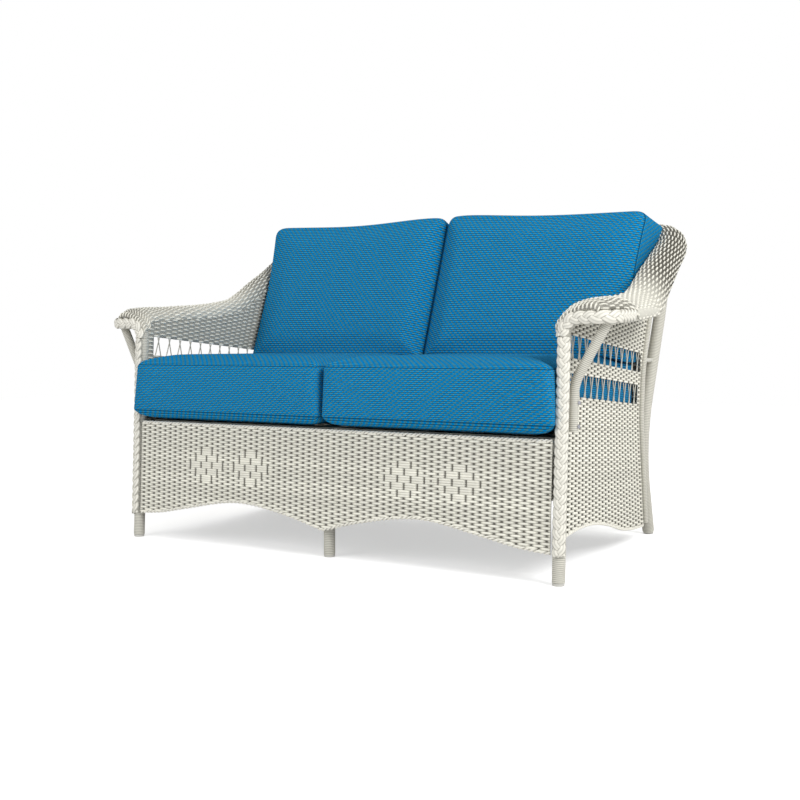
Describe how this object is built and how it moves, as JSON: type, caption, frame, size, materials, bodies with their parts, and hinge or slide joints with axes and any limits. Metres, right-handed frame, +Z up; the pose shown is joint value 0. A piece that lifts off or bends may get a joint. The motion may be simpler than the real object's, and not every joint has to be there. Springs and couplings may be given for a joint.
{
  "type": "patio loveseat",
  "caption": "Woven-strand patio loveseat with broad rolled arms that sweep up into the back, an arched apron, open galleries in the sides, and loose boxed seat and back cushions.",
  "frame": {"origin": "centre of the footprint at floor level", "axes": "+X towards the sitter's left arm, -Y the way the sitter faces, +Z up"},
  "size_m": [1.5178, 0.9003, 0.9241],
  "materials": {
    "weave": "round extruded strand, soft sheen",
    "wrap": "fine strand wound round tube, soft sheen",
    "tube": "off-white powder coat",
    "cushion": "two-tone woven outdoor fabric, matte",
    "strap": "woven webbing",
    "glide": "moulded, matte",
    "screw": "round head"
  },
  "bodies": {
    "frame": {"arm_rim_left": "weave", "arm_rim_right": "weave", "back_rim": "weave", "side_panel_left": "weave", "side_panel_right": "weave", "side_binding_left": "weave", "side_binding_right": "weave", "gallery_strands_left": "weave", "gallery_strands_right": "weave", "front_apron": "weave", "front_binding": "weave", "back_weave": "weave", "rear_apron": "weave", "post_braid_left": "weave", "post_braid_right": "weave", "arm_braid_left": "weave", "arm_braid_right": "weave", "front_post_wrap_left": "wrap", "front_post_wrap_right": "wrap", "arm_wrap_left": "wrap", "arm_wrap_right": "wrap", "top_wrap": "wrap", "back_post_wrap_left": "wrap", "back_post_wrap_right": "wrap", "centre_leg_wrap": "wrap", "rear_stile_left": "wrap", "rear_stile_right": "wrap", "arm_brace_wrap_left": "wrap", "arm_brace_wrap_right": "wrap", "front_post_left": "tube", "front_post_right": "tube", "arm_tube_left": "tube", "arm_tube_right": "tube", "top_tube": "tube", "back_post_left": "tube", "back_post_right": "tube", "front_rail": "tube", "rear_rail": "tube", "side_rail_left": "tube", "side_rail_right": "tube", "centre_rail": "tube", "centre_leg": "tube", "stile_spacers": "tube", "back_panel_rails": "tube", "arm_brace_left": "tube", "arm_brace_right": "tube", "front_glides": "glide", "rear_glides": "glide", "brace_screws": "screw", "long_straps": "strap", "cross_straps": "strap"},
    "seat_cushion_left": {"seat_cushion_left": "cushion"},
    "seat_cushion_right": {"seat_cushion_right": "cushion"},
    "back_cushion_left": {"back_cushion_left": "cushion"},
    "back_cushion_right": {"back_cushion_right": "cushion"}
  },
  "joints": [
    {"name": "seat_cushion_left_lift_out", "type": "slide", "parent": "frame", "child": "seat_cushion_left", "axis": [0, -1, 0], "range_m": [0, 0.65]},
    {"name": "seat_cushion_right_lift_out", "type": "slide", "parent": "frame", "child": "seat_cushion_right", "axis": [0, -1, 0], "range_m": [0, 0.65]},
    {"name": "back_cushion_left_lift_out", "type": "slide", "parent": "frame", "child": "back_cushion_left", "axis": [0, 0, 1], "range_m": [0, 0.45]},
    {"name": "back_cushion_right_lift_out", "type": "slide", "parent": "frame", "child": "back_cushion_right", "axis": [0, 0, 1], "range_m": [0, 0.45]}
  ]
}
